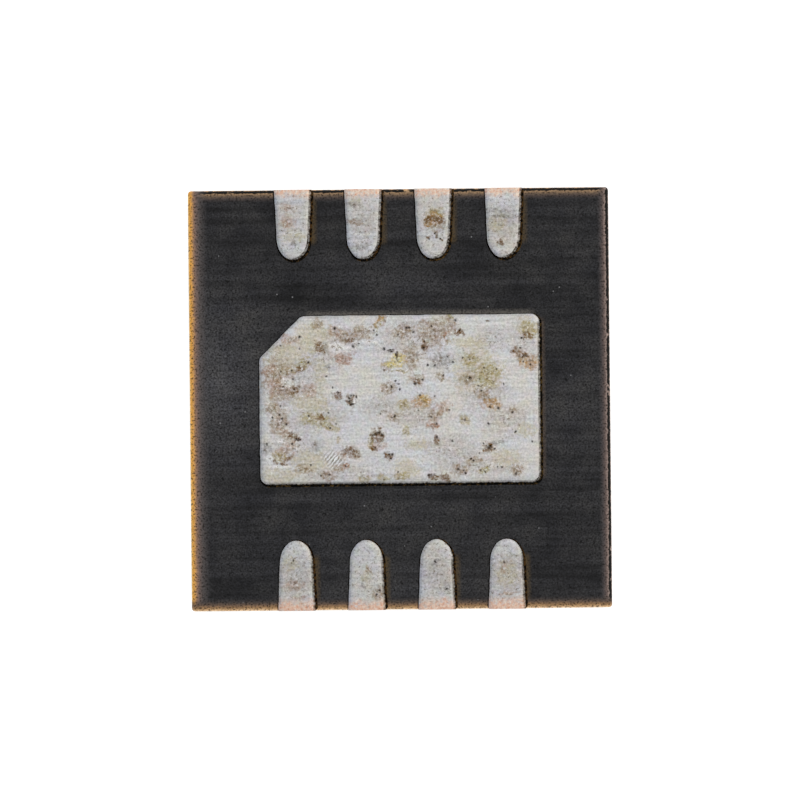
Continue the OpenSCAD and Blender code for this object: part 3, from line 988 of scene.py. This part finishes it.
# %% [markdown]
# Along the sawn rim each side is painted in its own way: pale golden on the
# left and tan below, as a painted highlight, and brown with a broken black line
# of painted shadow on top and on the right. The colour follows the distance from
# the side in millimetres, through a ramp whose alpha says how much it covers,
# and dark grains pepper it. It too is kept to the upper face.

# %% The painted light and shade of the rim
RIM_DEPTH = 0.14
RIM_WAVER = 0.006
RIM_WAVE = 0.03
PEPPER = 0.013
SHADOW_LINE = 0.013
SHADOW_LINE_WIDTH = 0.02
SHADOW_DASH = 0.07
# For each side, its painted light and shade: stops of distance from the side, colour and how much it covers
RIM_LIGHT_AND_SHADE = {
    ("Y", 1): [(0.0, "#c89a66", 1), (0.02, "#b99a78", 1), (0.03, "#967a5e", 1), (0.043, "#746252", 0.9),
               (0.06, "#544844", 0.7), (0.085, "#3c3633", 0)],
    ("X", 1): [(0.0, "#a08a80", 1), (0.02, "#ae9a92", 1), (0.03, "#8e7c75", 1), (0.04, "#6e5e59", 0.9),
               (0.06, "#585050", 0.6), (0.085, "#4a4748", 0)],
    ("X", -1): [(0.0, "#f6cc84", 1), (0.014, "#e2a242", 1), (0.026, "#daa460", 1), (0.04, "#9c7a62", 1),
                (0.056, "#7c6860", 0.95), (0.08, "#605856", 0.75), (0.14, "#4e4c4e", 0)],
    ("Y", -1): [(0.0, "#ffe0ba", 1), (0.012, "#d0a87c", 1), (0.026, "#9c7a56", 1), (0.045, "#6e5a4c", 0.95),
                (0.065, "#4c4440", 0.6), (0.09, "#403a3a", 0)],
}
waver = add("TexNoise", {"Vector": here, "Scale": 1 / RIM_WAVE, "Detail": 3})
waver = add("MapRange", {"Value": waver, 3: -2 * RIM_WAVER, 4: 2 * RIM_WAVER})
pepper = add("TexNoise", {"Vector": here, "Scale": 1 / PEPPER, "Detail": 2})
peppered = add("MapRange", {"Value": pepper, 1: 0.44, 2: 0.34, 4: 0.85})
uneven = add("MapRange", {"Value": grain, 1: 0.25, 2: 0.75, 3: 0.6, 4: 1.4})
shadow_dashes = add("TexNoise", {"Vector": here, "Scale": 1 / SHADOW_DASH, "Detail": 3})
shadow_dashes = add("MapRange", {"Value": shadow_dashes, 1: 0.3, 2: 0.36})
for (axis, way), stops in RIM_LIGHT_AND_SHADE.items():
    reach = (half_w if axis == "X" else half_l) / MM
    distance = add("Math", {0: axes[axis], 1: -way, 2: reach}, operation="MULTIPLY_ADD")
    distance = add("Math", {0: distance, 1: waver}, operation="ADD")
    inward = add("MapRange", {"Value": distance, 1: 0.0, 2: RIM_DEPTH})
    ramp = add("ValToRGB", {"Fac": inward})
    elements = ramp["Color"].node.color_ramp.elements
    while len(elements) < len(stops):
        elements.new(0.5)
    for element, (at, code, share) in zip(elements, stops):
        element.position = at / RIM_DEPTH
        element.color = (*colour(code)[:3], share)
    rim = add("VectorMath", {0: ramp["Color"], "Scale": uneven}, operation="SCALE")
    rim = add("Mix", {0: peppered, 6: rim, 7: "#1e150b"}, data_type="RGBA")
    # Painted shadow: a broken black line near the upper and the right side
    if way > 0:
        painted_shadow = add("Math", {0: distance, 1: SHADOW_LINE}, operation="SUBTRACT")
        painted_shadow = add("Math", {0: painted_shadow}, operation="ABSOLUTE")
        painted_shadow = add("MapRange", {"Value": painted_shadow, 1: 0.6 * SHADOW_LINE_WIDTH, 2: 0.4 * SHADOW_LINE_WIDTH})
        painted_shadow = add("Math", {0: painted_shadow, 1: shadow_dashes}, operation="MULTIPLY")
        rim = add("Mix", {0: painted_shadow, 6: rim, 7: "#0a0705"}, data_type="RGBA")
    cover = add("Math", {0: ramp["Alpha"], 1: upper}, operation="MULTIPLY")
    shade = add("Mix", {0: cover, 6: shade, 7: rim}, data_type="RGBA")
relief = add("Bump", {"Height": grain, "Strength": 1, "Distance": RESIN_RELIEF})
feed(shader, Base_Color=shade, Normal=relief, Roughness=0.6, Specular_IOR_Level=0.2)
print("nodes in the moulded face:", len(moulded.node_tree.nodes))

# %% [markdown]
# ### Painted shade in the grooves
#
# The hairline grooves round the metal are painted almost black, which is
# painted shade, with brown here and there, and more brown on the right of the
# metal, where the groove's wall faces left: a painted warm light.

# %% Painted shade in the grooves
GROOVE_PATCH = 0.02
LEFT_WALL_WARMTH = 0.12

groove_shade, add, shader, here = new_finish("painted_shade_in_groove")
groove_mottle = add("TexNoise", {"Vector": here, "Scale": 1 / GROOVE_PATCH, "Detail": 3})
wall = add("SeparateXYZ", {0: add("TexCoord", {})["Normal"]})["X"]
# Painted warm light: walls that face left get more brown
groove_mottle = add("Math", {0: wall, 1: -LEFT_WALL_WARMTH, 2: groove_mottle}, operation="MULTIPLY_ADD")
brown_and_warmth = add("MapRange", {"Value": groove_mottle, 1: 0.5, 2: 0.68})
shade = add("Mix", {0: brown_and_warmth, 6: "#070605", 7: "#5e4a28"}, data_type="RGBA")
feed(shader, Base_Color=shade, Roughness=0.9, Specular_IOR_Level=0.1)

# %% [markdown]
# ### The sawn sides
#
# The saw cuts through resin and silica alike, so the sides are greyer than the
# moulded face: black resin peppered with pale cut grains of many sizes, with
# the blade's level lines across them. Each cell of a Voronoi pattern holds one
# grain, and the cell's own random colour gives its size and its brightness.

# %% Sawn mould compound
SIDE_SILICA = 0.022
SIDE_LINE = 0.012
SIDE_LINE_LENGTH = 0.5
SIDE_RELIEF = 0.0025 * MM

sawn, add, shader, here = new_finish("sawn_black_epoxy")
side_scale = (1 / SIDE_LINE_LENGTH, 1 / SIDE_LINE_LENGTH, 1 / SIDE_LINE)
level = add("Mapping", {"Vector": here, "Scale": side_scale})
lines = add("TexNoise", {"Vector": level, "Scale": 1, "Detail": 3})
cells = add("TexVoronoi", {"Vector": here, "Scale": 1 / SIDE_SILICA})
which = add("SeparateColor", {"Color": cells["Color"]})
radius = add("MapRange", {"Value": which["Red"], 3: 0.1, 4: 0.5})
core = add("Math", {0: radius, 1: 0.6}, operation="MULTIPLY")
cut_grain = add("MapRange", {"Value": cells["Distance"], 1: radius, 2: core})
cut_grain = add("Math", {0: cut_grain, 1: which["Green"]}, operation="MULTIPLY")
shade = add("Mix", {0: lines, 6: "#1f1f20", 7: "#38373a"}, data_type="RGBA")
shade = add("Mix", {0: cut_grain, 6: shade, 7: "#545355"}, data_type="RGBA")
height = add("Math", {0: lines, 1: cut_grain}, operation="ADD")
relief = add("Bump", {"Height": height, "Strength": 1, "Distance": SIDE_RELIEF})
feed(shader, Base_Color=shade, Normal=relief, Roughness=0.75, Specular_IOR_Level=0.25)

# %% [markdown]
# ### What lies inside
#
# Nothing shows of the die, its adhesive and the wires once the resin is round
# them, but the pieces are there and may be looked at one by one. Silicon is a
# dark mirror with a grid of circuit blocks, the adhesive is dull and full of
# silver flakes, and the wires are drawn gold.

# %% Silicon, silver adhesive and gold
BLOCK_SIZE = 0.09
BLOCK_GAP = 0.006
SILICON_CLOUD = 0.01
FLAKE = 0.015
FLAKE_RELIEF = 0.002 * MM
DRAWN_GRAIN = 0.012

silicon, add, shader, here = new_finish("patterned_silicon")
blocks = add("TexBrick", {"Vector": here, "Color1": "#4c566e", "Color2": "#5d5a72", "Mortar": "#8d8a86",
                          "Scale": 1.0, "Mortar Size": BLOCK_GAP,
                          "Brick Width": 2 * BLOCK_SIZE, "Row Height": BLOCK_SIZE})
cloudy = add("TexNoise", {"Vector": here, "Scale": 1 / SILICON_CLOUD, "Detail": 2})
gloss = add("MapRange", {"Value": cloudy, 3: 0.12, 4: 0.28})
feed(shader, Base_Color=blocks["Color"], Roughness=gloss, Metallic=0.6)

adhesive, add, shader, here = new_finish("silver_filled_adhesive")
flakes = add("TexVoronoi", {"Vector": here, "Scale": 1 / FLAKE})
shade = add("Mix", {0: flakes["Distance"], 6: "#c4c3c0", 7: "#83827f"}, data_type="RGBA")
relief = add("Bump", {"Height": flakes["Distance"], "Strength": 1, "Distance": FLAKE_RELIEF})
feed(shader, Base_Color=shade, Normal=relief, Metallic=0.7, Roughness=0.55)

gold, add, shader, here = new_finish("drawn_gold_wire")
drawn = add("TexNoise", {"Vector": here, "Scale": 1 / DRAWN_GRAIN, "Detail": 2})
shade = add("Mix", {0: drawn, 6: "#f2c14e", 7: "#e0a93a"}, data_type="RGBA")
gloss = add("MapRange", {"Value": drawn, 3: 0.2, 4: 0.34})
feed(shader, Base_Color=shade, Roughness=gloss, Metallic=1)

# %% [markdown]
# ## Dress the pieces
#
# A piece can wear several finishes. A lead or the paddle is tin where its face
# points up out of the resin, and copper elsewhere. The block is sawn on its
# four sides, painted with shade in the grooves and moulded on every other face.

# %% Give each face its finish
def dress(piece, finishes, which):
    """Give a piece its finishes, and each face the one that a test picks by its number."""
    piece.data.materials.clear()
    for finish in finishes:
        piece.data.materials.append(finish)
    for face in piece.data.polygons:
        face.material_index = which(face)


def below_plating(face):
    """Tin or copper: 0 or 1."""
    return int(face.normal.z < 0.1 and face.center.z < mould_top - GROOVE_DEPTH or face.normal.z < -0.5
               or max(abs(face.center.x) - half_w, abs(face.center.y) - half_l) > -NEAR)


def resin_face(face):
    """Moulded, sawn or groove: 0, 1 or 2."""
    x, y, z = face.center
    if max(abs(x) - half_w, abs(y) - half_l) > -CORNER_BREAK and abs(face.normal.z) < 0.1:
        return 1
    sloping = 0.2 < face.normal.z < 0.95 and mould_top - GROOVE_DEPTH < z < mould_top
    outward = max(face.normal.x * math.copysign(half_w - abs(x) < RIM_BREAK + CHIP, x),
                  face.normal.y * math.copysign(half_l - abs(y) < RIM_BREAK + CHIP, y))
    return 2 if sloping and outward < 0.2 else 0


for piece in [paddle, *leads.values()]:
    dress(piece, [tin, copper], below_plating)
dress(block, [moulded, sawn, groove_shade], resin_face)

inner_finishes = {"silicon_die": silicon, "die_attach": adhesive}
for name in inner_nodes:
    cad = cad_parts[name]
    cad.data.materials.clear()
    cad.data.materials.append(inner_finishes.get(name, gold))

# %% Tie each piece to the frame
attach(block, "root")
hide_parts("mould_body")
plated = {"die_paddle": paddle, **{f"lead_{pin}": lead for pin, lead in leads.items()}}
for name, piece in plated.items():
    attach(piece, "root")
    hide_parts(name)
print("pieces dressed:", 1 + len(plated))

# %% [markdown]
# ## Floor, light and camera
#
# The chip lies on a white sheet that is lit from below, as on a light table,
# so nothing throws a hard shadow. Round it stands a white tent. Its left wall
# is in cool shade and its right wall in warm light, and the tent is dimmer
# towards the viewer than behind, which the crowned edges of the metal mirror.
# One soft lamp from the back right gives the sides some shape.

# %% The light table
FLOOR_SIZE = 0.6
FLOOR_GLOW = 0.72

bpy.ops.object.select_all(action="DESELECT")
bpy.ops.mesh.primitive_plane_add(size=FLOOR_SIZE)
floor = bpy.context.object
floor.name = "light_table"
acrylic, add, shader, here = new_finish("white_acrylic")
feed(shader, Base_Color="#e6e6e6", Roughness=0.8, Specular_IOR_Level=0.1,
     Emission_Color="#ffffff", Emission_Strength=FLOOR_GLOW)
floor.data.materials.append(acrylic)

# %% The tent and the lamp
TENT_GLOW = 1.0
HORIZON_GLOW = 1.0
SHADE_LEFT = 0.66
SHADE_FRONT = 0.7
LAMP_PLACE = Vector((18, 18, 24)) * MM
LAMP_SIZE = 22 * MM
LAMP_POWER = 0.0008

world = bpy.data.worlds.new("white_tent")
bpy.context.scene.world = world
world.use_nodes = True
add = partial(node, world.node_tree)
way = add("SeparateXYZ", {0: add("TexCoord", {})["Generated"]})
across = add("MapRange", {"Value": way["X"], 1: -0.75, 2: 0.2, 3: SHADE_LEFT * TENT_GLOW, 4: TENT_GLOW})
along = add("MapRange", {"Value": way["Y"], 1: -0.75, 2: 0.2, 3: SHADE_FRONT, 4: 1.0})
glow = add("Math", {0: across, 1: along}, operation="MULTIPLY")
up = add("MapRange", {"Value": way["Z"], 1: 0.1, 2: 0.2}, interpolation_type="SMOOTHSTEP")
glow = add("Mix", {0: up, 2: HORIZON_GLOW, 3: glow})
warm = add("MapRange", {"Value": way["X"], 1: -0.7, 2: 0.7})
tint = add("Mix", {0: warm, 6: "#ecf1fb", 7: "#fffaf0"}, data_type="RGBA")
tint = add("Mix", {0: up, 6: "#ffffff", 7: tint}, data_type="RGBA")
feed(world.node_tree.nodes["Background"], Color=tint, Strength=glow)

lamp = bpy.data.lights.new("soft_lamp", "AREA")
lamp.size = LAMP_SIZE
lamp.energy = LAMP_POWER
lamp.color = colour("#fff6e8")[:3]
stand = bpy.data.objects.new("soft_lamp", lamp)
stand.location = LAMP_PLACE
stand.rotation_euler = (-LAMP_PLACE).to_track_quat("-Z", "Y").to_euler()
bpy.context.scene.collection.objects.link(stand)

# %% [markdown]
# The photograph looks straight down on the soldering face. A long lens from a
# few centimetres keeps the sides out of sight, and the chip lies turned by half
# a degree, so the camera is turned the other way.

# %% The camera
FRAME_W = 5.697 * MM
LENS = 120
SENSOR = 36
TURN = -0.58
AIM_Y = -0.005 * MM
NEAREST_SEEN = 0.5 * MM

lens = bpy.data.cameras.new("camera")
lens.lens = LENS
lens.sensor_width = SENSOR
lens.clip_start = NEAREST_SEEN
camera = bpy.data.objects.new("camera", lens)
camera.location = (0, AIM_Y, solder_z + FRAME_W * LENS / SENSOR)
camera.rotation_euler = (0, 0, math.radians(TURN))
bpy.context.scene.collection.objects.link(camera)
bpy.context.scene.camera = camera
bpy.context.scene.view_settings.view_transform = "Standard"
